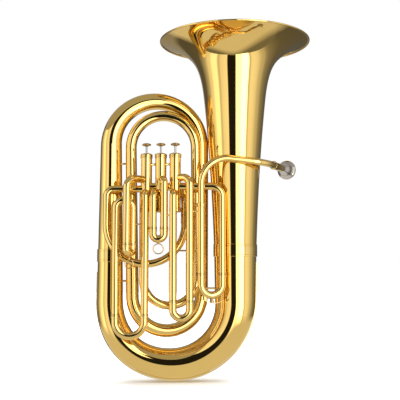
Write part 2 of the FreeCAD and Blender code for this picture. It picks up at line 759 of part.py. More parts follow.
def leg_brace(first, second, z, radius, flange=0.0):
    """Post between two upright slide legs."""
    return brace(at(first, z), at(second, z), [(first, SLEEVE_R), (second, SLEEVE_R)],
                 radius, flange)


def slide_braces():
    """Posts between the fixed legs of the valve slides and the leadpipe."""
    lead = SLIDES["main"][0][0]
    first = SLIDES["first"][0]
    second = SLIDES["second"][0]
    lower = SLIDES["third_lower"][0]
    behind = -61.0
    posts = [leg_brace(first[1], lead, z, 1.8, 3.4) for z in LEADPIPE_BRACE_Z]
    posts.append(brace(V(lower[0][0], behind, THIRD_BRACE_Z), V(lower[1][0], behind, THIRD_BRACE_Z),
                       [(lower[0], SLEEVE_R), (lower[1], SLEEVE_R)], 1.7))
    posts.append(leg_brace(first[0], first[1], FIRST_BRACE_Z, 1.9))
    posts.append(leg_brace(lower[1], second[0], SECOND_BRACE_Z, 1.8))
    posts.append(leg_brace(second[1], first[0], SECOND_BRACE_Z, 1.8))
    return group(posts)


def big_leg_radius(z):
    share = (z - BODY_Z) / (TOP_Z - BODY_Z)
    return BOTTOM_BOW_RADII[0] + (TOP_BOW_RADII[0] - BOTTOM_BOW_RADII[0]) * share


def body_braces():
    """Posts between the big leg, the inner legs and the bell. They stop just short of the
    tapered tubes, where solder fills the rest."""
    solder = 0.12
    posts = []
    for z, leg_x, leg_r in ((526.0, -103.0, 13.4), (240.0, -98.6, 15.0)):
        leg = (leg_x, BODY_BRACE_Y)
        trims = [((-BODY_R, 0), big_leg_radius(z) + solder), (leg, leg_r + solder)]
        posts.append(brace(V(-BODY_R, BODY_BRACE_Y, z), V(leg_x, BODY_BRACE_Y, z), trims, 2.2, 3.2))
    for z, leg_r, bell_r, flange in ((222.0, 16.3, long_leg_radius(222.0), 3.4),
                                     (470.0, 17.1, bell_radius(470.0), 3.0)):
        trims = [(LEG2, leg_r + solder), ((BELL_X, 0), bell_r + 2 * solder)]
        posts.append(brace(V(LEG2[0], BELL_BRACE_Y, z), V(BELL_X, BELL_BRACE_Y, z),
                           trims, 2.2, flange))
    return group(posts)


# ---------------------------------------------------------------- water key
KEY_LEGS = SLIDES["main"][0]
KEY_ALONG = unit(V(KEY_LEGS[1][0] - KEY_LEGS[0][0], KEY_LEGS[1][1] - KEY_LEGS[0][1], 0))
KEY_ACROSS = V(-KEY_ALONG.y, KEY_ALONG.x, 0)
KEY_MID = V((KEY_LEGS[0][0] + KEY_LEGS[1][0]) / 2, (KEY_LEGS[0][1] + KEY_LEGS[1][1]) / 2, 0)
BOW_BOTTOM = SLIDES["main"][2] - SLEEVE_R
PIVOT = KEY_MID - KEY_ALONG * 17.5 + UP * (BOW_BOTTOM - 0.6)
PAD_TOP = BOW_BOTTOM - 3.0


def bow_core():
    """Solid of the main slide's bow, used to trim what is soldered to it."""
    radius = (V(*KEY_LEGS[1], 0) - V(*KEY_LEGS[0], 0)).Length / 2
    centre = at(KEY_MID, SLIDES["main"][2] + radius)
    return Part.makeTorus(radius, SLEEVE_R, centre, KEY_ACROSS)


def water_key_mount():
    """Saddle with two ears for the pin, and the nipple that the pad closes."""
    core = bow_core()
    base = Part.makeBox(6, 9, 12)
    base.Placement = FreeCAD.Placement(V(-3, -4.5, 0), FreeCAD.Rotation())
    slot = Part.makeBox(12, 5.2, 9)
    slot.Placement = FreeCAD.Placement(V(-6, -2.6, -2.6), FreeCAD.Rotation())
    saddle = base.cut(slot)
    saddle.Placement = FreeCAD.Placement(V(0, 0, -2.2), FreeCAD.Rotation()).multiply(saddle.Placement)
    turn = FreeCAD.Rotation(UP, math.degrees(math.atan2(KEY_ALONG.y, KEY_ALONG.x)))
    saddle.Placement = FreeCAD.Placement(PIVOT, turn).multiply(saddle.Placement)
    saddle = saddle.cut(core).cut(rod(PIVOT - KEY_ACROSS * 8, PIVOT + KEY_ACROSS * 8, 1.05))
    saddle = max(saddle.Solids, key=lambda s: s.Volume)
    nipple = pipe(at(KEY_MID, PAD_TOP), at(KEY_MID, BOW_BOTTOM + 3), 4.2, 2.2).cut(core)
    nipple = min(nipple.Solids, key=lambda s: s.CenterOfMass.z)
    return group([saddle, nipple])


def water_key_pin():
    return rod(PIVOT - KEY_ACROSS * 4.9, PIVOT + KEY_ACROSS * 4.9, 1.05)


def key_point(along_way, up_way):
    return PIVOT + KEY_ALONG * along_way + UP * up_way


def water_key_lever():
    """Curved arm that hooks under the bow, with its pad cup and touch."""
    half = 1.9
    low = [key_point(-2.6, -0.6), key_point(18.0, -9.2), key_point(47.0, -1.8)]
    high = [key_point(-2.6, 1.2), key_point(18.0, -7.6), key_point(47.0, -0.4)]
    edges = [Part.Arc(*low).toShape(), line(low[2], high[2]),
             Part.Arc(high[2], high[1], high[0]).toShape(), line(high[0], low[0])]
    face = Part.Face(Part.Wire(edges))
    face.translate(KEY_ACROSS * -half)
    arm = face.extrude(KEY_ACROSS * (2 * half))
    hub = rod(PIVOT - KEY_ACROSS * 2.3, PIVOT + KEY_ACROSS * 2.3, 2.3)
    cup = Part.makeCylinder(5.0, 4.6, at(KEY_MID, PAD_TOP - 5.4))
    hole = rod(PIVOT - KEY_ACROSS * 8, PIVOT + KEY_ACROSS * 8, 1.10)
    cork = Part.makeCylinder(4.4, 2.4, at(KEY_MID, PAD_TOP - 2.4))
    return arm.multiFuse([hub, cup]).cut(hole).cut(cork)


def water_key_cork():
    return Part.makeCylinder(4.4, 2.36, at(KEY_MID, PAD_TOP - 2.4))


# ---------------------------------------------------------------- build
def build():
    os.makedirs("parts", exist_ok=True)
    write("bell", bell())
    write("bell_rim_wire", rim_wire())
    write("bell_ferrule", bell_ferrule())
    write("bottom_bow", bottom_bow_solid(0.0).cut(bottom_bow_solid(-WALL)))
    write("bottom_bow_long_leg", bow_long_leg())
    guard, cap = guard_and_cap()
    write("bottom_bow_guard", guard)
    write("bottom_bow_cap", cap)
    write("large_branch", large_branch())
    write("large_branch_ferrule", branch_ferrule())
    for name, shape in body_tubes().items():
        write(name, shape)
    write("crossover_tube", crossover())
    write("valve_outlet_loop", outlet_loop())
    for number, place in enumerate(VALVES):
        tag = str(number + 1)
        write("valve_casing_" + tag, casing(number))
        write("piston_" + tag, piston(number))
        write("valve_stem_" + tag, stem(place))
        write("finger_button_" + tag, button(place))
        write("valve_spring_" + tag, valve_spring(place))
    write("top_valve_caps", group([top_cap(p) for p in VALVES]))
    write("bottom_valve_caps", group([bottom_cap(p) for p in VALVES]))
    write("stem_felts", group([felt(p) for p in VALVES]))
    write("valve_knuckles", row_knuckles())
    write("casing_braces", casing_braces())
    write("leadpipe", leadpipe())
    write("main_slide_inlet_leg", main_inlet())
    write("first_valve_tubing", first_tubing())
    write("second_valve_tubing", second_tubing())
    write("third_valve_upper_tubing", third_upper_tubing())
    write("third_valve_lower_tubing", third_lower_tubing())
    write("sleeve_rings", group([r for name in SLIDES for r in slide_rings(name)]))
    names = {"main": "main_tuning_slide", "first": "first_valve_slide",
             "second": "second_valve_slide", "third_upper": "third_valve_upper_slide",
             "third_lower": "third_valve_lower_slide"}
    for key, name in names.items():
        write(name, moving_slide(key))
    write("second_slide_pull_ring", pull_ring("second", SECOND_PULL_RING))
    write("third_slide_pull_ring", pull_ring("third_upper", THIRD_PULL_RING))
    write("mouthpiece_receiver", receiver())
    write("mouthpiece", mouthpiece())
    write("slide_braces", slide_braces())
    write("body_braces", body_braces())
    write("water_key_mount", water_key_mount())
    write("water_key_pin", water_key_pin())
    write("water_key_lever", water_key_lever())
    write("water_key_cork", water_key_cork())


build()
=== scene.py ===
"""Looks of the tuba: polished tube work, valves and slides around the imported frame."""
import math

import bpy
import numpy as np
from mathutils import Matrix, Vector


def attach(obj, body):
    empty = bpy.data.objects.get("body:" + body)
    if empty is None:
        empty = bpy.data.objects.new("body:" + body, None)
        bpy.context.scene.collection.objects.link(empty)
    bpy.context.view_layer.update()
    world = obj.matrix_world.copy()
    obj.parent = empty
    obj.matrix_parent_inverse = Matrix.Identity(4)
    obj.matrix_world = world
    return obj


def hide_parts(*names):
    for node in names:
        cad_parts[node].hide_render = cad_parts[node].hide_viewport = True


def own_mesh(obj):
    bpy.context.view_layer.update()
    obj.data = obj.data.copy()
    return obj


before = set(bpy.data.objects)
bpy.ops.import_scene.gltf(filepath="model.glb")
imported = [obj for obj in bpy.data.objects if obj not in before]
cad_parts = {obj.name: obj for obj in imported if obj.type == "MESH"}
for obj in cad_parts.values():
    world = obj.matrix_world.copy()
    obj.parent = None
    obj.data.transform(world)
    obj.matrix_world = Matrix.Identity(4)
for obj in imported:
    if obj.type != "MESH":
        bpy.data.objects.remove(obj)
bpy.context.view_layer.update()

MM = 0.001
UP = Vector((0, 0, 1))

# ------------------------------------------------------------ sizes, millimetres
WALL = 0.8
BODY_R, BODY_Z = 152.5, 192.5
RIM_Z, RIM_R, BEAD_R, BEAD_OUT, BEAD_FLAT = 834.0, 183.5, 2.2, 1.2, 1.6
JOINT_Z, JOINT_R = 314.0, 51.9
BELL_OUTLINE = [(JOINT_Z, JOINT_R), (394.0, 55.0), (563.0, 65.0), (674.0, 74.8), (738.0, 84.3),
                (782.0, 102.0), (813.0, 135.5), (829.0, 167.3), (RIM_Z, RIM_R)]
BOTTOM_RADII, BOW_FULLNESS = (31.5, 38.2, 49.8), 3.5
BELL_FERRULE = (299.0, 329.0, 53.7, 51.0)       # low, high, outer and inner radius
LEG_FERRULE = (286.0, 317.0, 31.9, 29.0)
TOP_Z, TOP_RADII = 573.0, (25.8, 20.0, 17.4)
LEG2 = (69.7, 16.0)
LOW2_Z, LOW2_RADII = 204.0, (15.2, 16.0, 16.2)
LEG3_LOW, LEG3_TOP = (-98.0, -4.0), (-103.5, -4.0)
TOP2_Z, TOP2_RADII = 566.0, (13.2, 12.6, 11.9)
LEG4_TOP, LEG4_LOW = (55.0, -10.0), (57.2, -10.0)
LOW3_Z, LOW3_RADII = 246.5, (9.4, 10.0, 10.7)
LEG5 = (-73.0, -20.0)
CROSSOVER_Z, CROSSOVER_BENDS = 467.0, [18.0, 14.0, 40.0]
TUBE_R, TUBE_BORE = 8.8, 8.1
SLEEVE_R, SLEEVE_BORE = 9.0, 8.42
INNER_R, INNER_BORE = 8.37, 7.8
RING_R, RING_H = 9.9, 5.0
OUTLET_Y, OUTLET_Z, OUTLET_X = -46.0, 460.0, (-159.0, 28.0)
OUTLET_LOW_Z, OUTLET_JOIN_Z, OUTLET_BEND = 374.5, 406.0, 18.0
ROW_YAW, VALVE_PITCH, VALVE_MID = 8.0, 34.9, (-30.0, -50.0)
CASING_R, CASING_Z, CAP_R, STEM_R, STEM_HOLE_R = 13.2, (412.0, 539.0), 14.6, 2.4, 2.7
TOP_CAP_Z, BOTTOM_CAP_Z = (534.5, 545.0), (404.0, 415.0)
BUTTON_R, BUTTON_Z = 11.0, (563.0, 571.3)
SPRING_Z, PISTON_TOP_Z = (406.0, 440.0), 542.0
LOWER_PORT, UPPER_PORT, ROW_PORT = 450.0, 482.0, 466.0
SADDLE_R = CASING_R - 0.6                       # tube ends sink this little into a casing wall
SLIDES = {
    "main": (((65.7, -77.0), (116.0, -60.0)), 255.0, 207.5, 115.0),
    "first": (((-0.6, -80.0), (38.9, -80.0)), 192.0, 155.0, 105.0),
    "second": (((-48.1, -75.0), (-21.8, -75.0)), 363.0, 339.0, 55.0),
    "third_upper": (((-109.0, -92.0), (-96.0, -72.0)), 325.0, 306.0, 65.0),
    "third_lower": (((-135.5, -70.0), (-67.0, -70.0)), 160.0, 113.0, 120.0),
}
SLIDE_GAP = 0.4                                 # between a sleeve and its slide's ring
THIRD_LOOP_Z = 412.0
TIGHT_BEND, SHORT_BEND, MIDDLE_BEND, WIDE_BEND = 11.5, 14.0, 20.0, 24.0
PULL_WIRE_R = 1.25
SECOND_PULL_RING, THIRD_PULL_RING = (11.8, 13.6), (9.8, 16.4)   # ring radius and drop
LEADPIPE_R, LEADPIPE_BORE, LEADPIPE_BENDS = 8.0, 7.2, [62.0, 58.0]
LEADPIPE_JOIN_Z, LEADPIPE_CORNER_Z = 420.0, 540.0
TURN = Vector((222.0, -77.0, 521.0))
MOUTH = Vector((math.sin(math.radians(26)), math.cos(math.radians(26)), 0))
LEADPIPE_END, RECEIVER, SHANK_R, SHANK_DEPTH = 60.0, (48.0, 104.0), 6.35, 28.0
BROWN_EDGE_R, BROWN_EDGE_END = 22.6, 54.5         # the gold-brown outer edge of the mouthpiece rim

ROW = Vector((math.cos(math.radians(ROW_YAW)), -math.sin(math.radians(ROW_YAW)), 0))
VALVES = [Vector((*VALVE_MID, 0)) + ROW * (VALVE_PITCH * k) for k in (1, 0, -1)]


def at(place, z):
    return Vector((place[0], place[1], z))


# ------------------------------------------------------------ materials
POLISH_WAVE = 0.00002       # metres


class Shader:
    """Small helper to lay out nodes for one material."""

    def __init__(self, name):
        self.material = bpy.data.materials.new(name)
        self.material.use_nodes = True
        self.tree = self.material.node_tree
        self.bsdf = self.tree.nodes["Principled BSDF"]
        self.coords = self.tree.nodes.new("ShaderNodeTexCoord")

    def node(self, kind, **values):
        made = self.tree.nodes.new(kind)
        for key, value in values.items():
            if key in made.inputs:
                made.inputs[key].default_value = value
            else:
                setattr(made, key, value)
        return made

    def link(self, out_socket, in_socket):
        self.tree.links.new(out_socket, in_socket)

    def noise(self, scale, detail=3.0, stretch=(1, 1, 1)):
        mapping = self.node("ShaderNodeMapping")
        mapping.inputs["Scale"].default_value = stretch
        self.link(self.coords.outputs["Object"], mapping.inputs["Vector"])
        noise = self.node("ShaderNodeTexNoise", Scale=scale, Detail=detail)
        self.link(mapping.outputs["Vector"], noise.inputs["Vector"])
        return noise.outputs["Fac"]

    def ramp(self, fac, stops):
        ramp = self.node("ShaderNodeValToRGB")
        elements = ramp.color_ramp.elements
        while len(elements) < len(stops):
            elements.new(0.5)
        for element, (place, colour) in zip(elements, stops):
            element.position = place
            element.color = (*colour, 1)
        self.link(fac, ramp.inputs["Fac"])
        return ramp.outputs["Color"]

    def spread(self, fac, low, high):
        spread = self.node("ShaderNodeMapRange")
        spread.inputs["From Min"].default_value = 0.3
        spread.inputs["From Max"].default_value = 0.7
        spread.inputs["To Min"].default_value = low
        spread.inputs["To Max"].default_value = high
        self.link(fac, spread.inputs["Value"])
        return spread.outputs["Result"]

    def bump(self, fac, height, strength):
        bump = self.node("ShaderNodeBump", Strength=strength, Distance=height)
        self.link(fac, bump.inputs["Height"])
        self.link(bump.outputs["Normal"], self.bsdf.inputs["Normal"])


def polished(name, dark, light, rough, coat):
    """Polished metal: slow colour drift, faint hand-polish swirls and a thin lacquer."""
    s = Shader(name)
    s.bsdf.inputs["Metallic"].default_value = 1.0
    s.bsdf.inputs["Coat Weight"].default_value = coat
    s.bsdf.inputs["Coat Roughness"].default_value = 0.03
    drift = s.noise(9.0, 2.0)
    s.link(s.ramp(drift, [(0.3, dark), (0.7, light)]), s.bsdf.inputs["Base Color"])
    swirls = s.noise(160.0, 4.0, (1, 1, 0.25))
    s.link(s.spread(swirls, rough[0], rough[1]), s.bsdf.inputs["Roughness"])
    s.bump(s.noise(30.0, 1.0), POLISH_WAVE, 0.25)
    return s.material


def soft_stuff(name, dark, light, scale, rough, height, sheen=0.0):
    """Felt or cork: mottled colour with a fine raised grain."""
    s = Shader(name)
    grain = s.noise(scale, 6.0)
    s.link(s.ramp(grain, [(0.35, dark), (0.65, light)]), s.bsdf.inputs["Base Color"])
    s.bsdf.inputs["Roughness"].default_value = rough
    s.bsdf.inputs["Sheen Weight"].default_value = sheen
    s.bump(s.noise(scale * 2.5, 4.0), height, 0.7)
    return s.material


BRASS = polished("lacquered_brass_tube", (0.80, 0.55, 0.18), (0.86, 0.61, 0.21), (0.03, 0.06), 0.06)
BELL_BRASS = polished("lacquered_brass_bell", (0.86, 0.58, 0.18), (0.91, 0.63, 0.20), (0.03, 0.055), 0.06)
PART_BRASS = polished("lacquered_brass_fitting", (0.62, 0.42, 0.14), (0.72, 0.50, 0.18), (0.06, 0.12), 0.08)
# Darker copy of the brass: painted shade for the finger buttons, whose undersides face the camera; the
# water key mount and lever share it.
DARK_BRASS = polished("painted_shade_brass", (0.34, 0.21, 0.07), (0.52, 0.34, 0.12), (0.10, 0.20), 0.1)
NICKEL = polished("nickel_plate_inner", (0.66, 0.62, 0.54), (0.74, 0.71, 0.64), (0.06, 0.14), 0.0)
STEEL = polished("ground_steel", (0.30, 0.30, 0.31), (0.42, 0.42, 0.43), (0.15, 0.25), 0.0)
SILVER = polished("silver_plate", (0.62, 0.56, 0.50), (0.76, 0.71, 0.65), (0.10, 0.18), 0.0)
# Darker gold-brown for the outer edge of the mouthpiece rim.
RIM_EDGE = polished("gold_brown_rim_edge", (0.40, 0.27, 0.12), (0.62, 0.46, 0.26), (0.12, 0.2), 0.0)
FELT = soft_stuff("wool_felt", (0.62, 0.58, 0.50), (0.80, 0.77, 0.69), 900.0, 0.95, 0.0003, 0.5)
CORK = soft_stuff("agglomerate_cork", (0.30, 0.17, 0.08), (0.62, 0.42, 0.24), 700.0, 0.85, 0.0002)


# ------------------------------------------------------------ mesh helpers
def make_piece(name, vertices, faces, material, body, slot, nodes, sharp=35.0):
    """Mesh piece from millimetre points, smooth shaded with sharp edges kept."""
    mesh = bpy.data.meshes.new(name)
    mesh.from_pydata([tuple(c * MM for c in v) for v in vertices], [], faces)
    mesh.validate()
    mesh.polygons.foreach_set("use_smooth", [True] * len(mesh.polygons))
    mesh.set_sharp_from_angle(angle=math.radians(sharp))
    mesh.update()
    piece = bpy.data.objects.new(name, mesh)
    bpy.context.scene.collection.objects.link(piece)
    piece.data.materials.append(material)
    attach(piece, body)
    if nodes:
        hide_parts(*nodes)
    return piece


class Route:
    """Straight runs and tangent arcs, measured by length from the start."""

    def __init__(self):
        self.parts = []
        self.length = 0.0
        self.marks = [0.0]

    def run(self, start, end):
        start, end = Vector(start), Vector(end)
        size = (end - start).length
        if size > 1e-4:
            self.add(size, lambda s: (start.lerp(end, s / size), (end - start) / size))
        return self

    def arc(self, centre, start, way, angle):
        """Turn about a centre from a start point, leaving in direction way."""
        centre, start, way = Vector(centre), Vector(start), Vector(way).normalized()
        spoke = start - centre
        radius = spoke.length

        def place(s):
            a = s / radius
            here = centre + spoke * math.cos(a) + way * (radius * math.sin(a))
            return here, way * math.cos(a) - spoke / radius * math.sin(a)

        self.add(radius * angle, place, max(6, round(math.degrees(angle) / 4)))
        return self

    def add(self, size, place, pieces=1):
        start = self.length
        self.parts.append((start, start + size, place))
        self.length += size
        self.marks += [start + size * k / pieces for k in range(1, pieces + 1)]

    def at(self, s):
        for low, high, place in self.parts:
            if s <= high + 1e-9:
                return place(max(s, low) - low)
        low, high, place = self.parts[-1]
        return place(high - low)


def route_of(points, radii):
    """Route through corner points, rounded by one radius each."""
    points = [Vector(p) for p in points]
    route = Route()
    here = points[0]
    for k, radius in enumerate(radii):
        corner = points[k + 1]
        way_in = (corner - points[k]).normalized()
        way_out = (points[k + 2] - corner).normalized()
        turn = way_in.angle(way_out)
        reach = radius * math.tan(turn / 2)
        start = corner - way_in * reach
        side = (way_out - way_in).normalized()
        centre = corner + side * (radius / math.cos(turn / 2))
        route.run(here, start)
        route.arc(centre, start, way_in, turn)
        here = corner + way_out * reach
    route.run(here, points[-1])
    return route


def half_turn(start, end, side):
    """Route of a half circle between two points at one height."""
    start, end = Vector(start), Vector(end)
    return Route().arc((start + end) / 2, start, UP * side, math.pi)


def full_turn(start, end, side, fullness):
    """Half turn whose first half is a little fuller than a circle."""
    plain = half_turn(start, end, side)
    centre = (Vector(start) + Vector(end)) / 2

    def place(s):
        here, way = plain.at(s)
        t = s / plain.length
        if t < 0.5:
            here = here + (here - centre).normalized() * (fullness * math.sin(2 * math.pi * t) ** 2)
        return here, way

    route = Route()
    route.add(plain.length, place, len(plain.marks) - 1)
    return route


def stations(route, profile):
    """Lengths and radii along a route; a profile is a function or (length, radius) steps."""
    if callable(profile):
        return [(s, profile(s / route.length)) for s in route.marks]
    places = [s for s, _ in profile]
    radii = [r for _, r in profile]
    extra = [(s, float(np.interp(s, places, radii))) for s in route.marks
             if all(abs(s - p) > 0.05 for p in places)]
    return sorted(list(profile) + extra, key=lambda item: item[0])


def sweep(route, profile, bore, segments=40, saddle=None):
    """Closed hollow tube: outer skin, inner skin and two end rims. Returns points and faces."""
    outer = stations(route, profile)
    if callable(bore):
        inner = [(s, bore(s / route.length)) for s in route.marks]
    else:
        inner = [(s, bore) for s in route.marks]
    loop = outer + inner[::-1]
    _, way = route.at(0)
    side = way.orthogonal().normalized()
    if abs(way.z) < 0.9:
        side = way.cross(UP).normalized()
    frames = {}
    last = way
    for s in sorted({s for s, _ in loop}):
        position, way = route.at(s)
        turn = last.rotation_difference(way)
        side = turn @ side
        side = (side - way * side.dot(way)).normalized()
        frames[s] = (position, side.copy(), way.cross(side))
        last = way
    points = []
    for s, r in loop:
        position, a, b = frames[s]
        for k in range(segments):
            angle = 2 * math.pi * k / segments
            points.append(position + a * (r * math.cos(angle)) + b * (r * math.sin(angle)))
    if saddle is not None:
        fit_saddle(points, loop, segments, route, *saddle)
    faces = []
    rings = len(loop)
    for i in range(rings):
        j = (i + 1) % rings
        for k in range(segments):
            m = (k + 1) % segments
            faces.append((i * segments + k, i * segments + m, j * segments + m, j * segments + k))
    return points, faces


def fit_saddle(points, loop, segments, route, centre, radius):
    """Moves the first rings to the round wall of a valve casing."""
    _, way = route.at(0)
    flat = Vector((centre[0], centre[1], 0))
    across = way.cross(UP).normalized()
    for i, (s, _) in enumerate(loop):
        if s > 1e-6:
            continue
        for k in range(segments):
            p = points[i * segments + k]
            lateral = (p - flat).dot(across)
            reach = math.sqrt(max(radius ** 2 - lateral ** 2, 0))
            along = (Vector((p.x, p.y, 0)) - flat).dot(way)
            points[i * segments + k] = p + way * (reach - along)


def join(parts):
    """One list of points and faces from several."""
    points, faces = [], []
    for some_points, some_faces in parts:
        shift = len(points)
        points += some_points
        faces += [tuple(i + shift for i in face) for face in some_faces]
    return points, faces


def lathe(outline, origin, axis=UP, segments=64):
    """Solid turned from (height, radius) points; radius 0 makes a pole."""
    axis = Vector(axis).normalized()
    side = axis.orthogonal().normalized()
    other = axis.cross(side)
    origin = Vector(origin)
    points, rings = [], []
    for height, radius in outline:
        if radius < 1e-6:
            rings.append([len(points)])
            points.append(origin + axis * height)
            continue
        ring = []
        for k in range(segments):
            angle = 2 * math.pi * k / segments
            spoke = side * math.cos(angle) + other * math.sin(angle)
            ring.append(len(points))
            points.append(origin + axis * height + spoke * radius)
        rings.append(ring)
    faces = []
    closed = len(rings[0]) > 1 and len(rings[-1]) > 1
    pairs = list(zip(rings, rings[1:] + rings[:1])) if closed else list(zip(rings, rings[1:]))
    for low, high in pairs:
        for k in range(segments):
            m = (k + 1) % segments
            if len(low) == 1:
                faces.append((low[0], high[m], high[k]))
            elif len(high) == 1:
                faces.append((low[k], low[m], high[0]))
            else:
                faces.append((low[k], low[m], high[m], high[k]))
    return points, faces


def ring_outline(low, high, outer, inner, edge=0.9, groove=0.35):
    """Outline of a ferrule: rounded ends, a fine groove near each."""
    steps = 5
    outline = [(low, inner), (low, outer - edge)]
    for k in range(1, steps + 1):
        a = math.pi / 2 * k / steps
        outline.append((low + edge * (1 - math.cos(a)), outer - edge + edge * math.sin(a)))
    span = high - low
    for place in (low + 0.16 * span, high - 0.16 * span):
        outline += [(place - groove, outer), (place, outer - groove), (place + groove, outer)]
    for k in range(steps):
        a = math.pi / 2 * (1 - k / steps)
        outline.append((high - edge * (1 - math.cos(a)), outer - edge + edge * math.sin(a)))
    outline += [(high, outer - edge), (high, inner)]
    return outline


def torus(centre, axis, ring_r, wire_r, segments=48, around=16):
    points, faces = [], []
    axis = Vector(axis).normalized()
    side = axis.orthogonal().normalized()
    other = axis.cross(side)
    for i in range(segments):
        a = 2 * math.pi * i / segments
        spoke = side * math.cos(a) + other * math.sin(a)
        for k in range(around):
            b = 2 * math.pi * k / around
            points.append(Vector(centre) + spoke * (ring_r + wire_r * math.cos(b))
                          + axis * (wire_r * math.sin(b)))
    for i in range(segments):
        j = (i + 1) % segments
        for k in range(around):
            m = (k + 1) % around
            faces.append((i * around + k, j * around + k, j * around + m, i * around + m))
    return points, faces


def smooth_profile(points, count):
    """Natural cubic spline through (height, radius) points, by chord length."""
    pts = np.array(points, float)
    chord = np.concatenate([[0], np.cumsum(np.hypot(*np.diff(pts, axis=0).T))])
    n = len(pts)
    h = np.diff(chord)
    result = []
    where = np.linspace(0, chord[-1], count)
    for column in range(2):
        y = pts[:, column]
        system = np.zeros((n, n))
        right = np.zeros(n)
        system[0, 0] = system[-1, -1] = 1
        for i in range(1, n - 1):
            system[i, i - 1:i + 2] = (h[i - 1], 2 * (h[i - 1] + h[i]), h[i])
            right[i] = 6 * ((y[i + 1] - y[i]) / h[i] - (y[i] - y[i - 1]) / h[i - 1])
        m = np.linalg.solve(system, right)
        k = np.clip(np.searchsorted(chord, where) - 1, 0, n - 2)
        a = (chord[k + 1] - where) / h[k]
        b = (where - chord[k]) / h[k]
        result.append(a * y[k] + b * y[k + 1]
                      + ((a ** 3 - a) * m[k] + (b ** 3 - b) * m[k + 1]) * h[k] ** 2 / 6)
    return list(zip(*result))


def taper_law(radii, wall=0.0):
    first, middle, last = radii
    return lambda t: (first * (1 - t) * (1 - 2 * t) + middle * 4 * t * (1 - t)
                      + last * t * (2 * t - 1) - wall)


def tube_piece(name, route, profile, bore, nodes, material=None, segments=40, saddle=None):
    """Fixed tube of the instrument, swept along its route."""
    points, faces = sweep(route, profile, bore, segments, saddle)
    return make_piece(name, points, faces, material or BRASS, "instrument", "lacquered_brass", nodes)


# ------------------------------------------------------------ bell and body
def build_bell():
    outer = smooth_profile(BELL_OUTLINE, 90)
    inner = []
    for k, (z, r) in enumerate(outer):
        near = outer[min(k + 1, len(outer) - 1)]
        before = outer[max(k - 1, 0)]
        dz, dr = near[0] - before[0], near[1] - before[1]
        size = math.hypot(dz, dr)
        inner.append((z + dr / size * WALL, r - dz / size * WALL))
    inner[0] = (JOINT_Z, inner[0][1])
    points, faces = lathe(outer + inner[::-1], at((BODY_R, 0), 0), UP, 144)
    make_piece("bell_shell", points, faces, BELL_BRASS, "instrument", "lacquered_brass", ("bell",), 50)
    bead = []
    steps = 20
    for k in range(steps):
        a = 2 * math.pi * k / steps
        bead.append((RIM_Z + min(BEAD_R * math.sin(a), BEAD_FLAT), RIM_R + BEAD_OUT + BEAD_R * math.cos(a)))
    points, faces = lathe(bead, at((BODY_R, 0), 0), UP, 144)
    make_piece("bell_rim_bead", points, faces, BELL_BRASS, "instrument", "lacquered_brass",
               ("bell_rim_wire",))


def build_ferrules():
    outline = ring_outline(*BELL_FERRULE, 0.9, 0.5)
    points, faces = lathe(outline, at((BODY_R, 0), 0), UP, 96)
    make_piece("bell_ferrule_band", points, faces, BRASS, "instrument", "lacquered_brass",
               ("bell_ferrule",))
    outline = ring_outline(*LEG_FERRULE, 0.9, 0.5)
    points, faces = lathe(outline, at((-BODY_R, 0), 0), UP, 80)
    make_piece("branch_ferrule_band", points, faces, BRASS, "instrument", "lacquered_brass",
               ("large_branch_ferrule",))


def tube_brass(segments):
    """The large tubes share the bell's brass."""
    return BELL_BRASS if segments > 60 else BRASS


def body_bow(name, start, end, side, radii, segments=56, fullness=0.0):
    tube_piece(name + "_tube", full_turn(start, end, side, fullness), taper_law(radii),
               taper_law(radii, WALL), material=tube_brass(segments),
               nodes=(name,), segments=segments)


def body_leg(name, low, high, r_low, r_high, segments=56):
    route = Route().run(low, high)
    steps = 24
    route.marks = [route.length * k / steps for k in range(steps + 1)]
    tube_piece(name + "_tube", route, lambda t: r_low + (r_high - r_low) * t,
               lambda t: r_low + (r_high - r_low) * t - WALL,
               material=tube_brass(segments), nodes=(name,), segments=segments)


def build_body():
    left, right = at((-BODY_R, 0), BODY_Z), at((BODY_R, 0), BODY_Z)
    body_bow("bottom_bow", left, right, -1, BOTTOM_RADII, 112, BOW_FULLNESS)
    body_leg("bottom_bow_long_leg", right, at(right, JOINT_Z), BOTTOM_RADII[2], JOINT_R, 112)
    body_leg("large_branch", left, at(left, TOP_Z), BOTTOM_RADII[0], TOP_RADII[0], 80)
    body_bow("top_bow", at(left, TOP_Z), at(LEG2, TOP_Z), 1, TOP_RADII, 80)
    body_leg("second_branch", at(LEG2, LOW2_Z), at(LEG2, TOP_Z), LOW2_RADII[2], TOP_RADII[2])
    body_bow("second_lower_bow", at(LEG3_LOW, LOW2_Z), at(LEG2, LOW2_Z), -1, LOW2_RADII)
    body_leg("third_branch", at(LEG3_LOW, LOW2_Z), at(LEG3_TOP, TOP2_Z), LOW2_RADII[0], TOP2_RADII[0])
    body_bow("inner_top_bow", at(LEG3_TOP, TOP2_Z), at(LEG4_TOP, TOP2_Z), 1, TOP2_RADII)
    body_leg("fourth_branch", at(LEG4_LOW, LOW3_Z), at(LEG4_TOP, TOP2_Z), LOW3_RADII[2], TOP2_RADII[2])
    body_bow("third_lower_bow", at(LEG5, LOW3_Z), at(LEG4_LOW, LOW3_Z), -1, LOW3_RADII)
    right_x = OUTLET_X[1]
    crossover = route_of(
        [at(LEG5, LOW3_Z), at(LEG5, CROSSOVER_Z), Vector((right_x - 4, LEG5[1], CROSSOVER_Z)),
         Vector((right_x, OUTLET_Y, OUTLET_JOIN_Z + 22)), Vector((right_x, OUTLET_Y, OUTLET_JOIN_Z))],
        CROSSOVER_BENDS)
    tube_piece("crossover_bend", crossover, [(0, TUBE_R), (crossover.length, TUBE_R)], TUBE_BORE,
               nodes=("crossover_tube",))


# ------------------------------------------------------------ valve tubing and slides
def ring_steps(low, high, base, ring):
    """Profile steps of a soldered ring along a tube."""
    edge = 0.6
    return [(low, base), (low, ring - edge), (low + 0.25 * edge, ring - 0.3 * edge), (low + edge, ring),
            (high - edge, ring), (high - 0.25 * edge, ring - 0.3 * edge), (high, ring - edge), (high, base)]


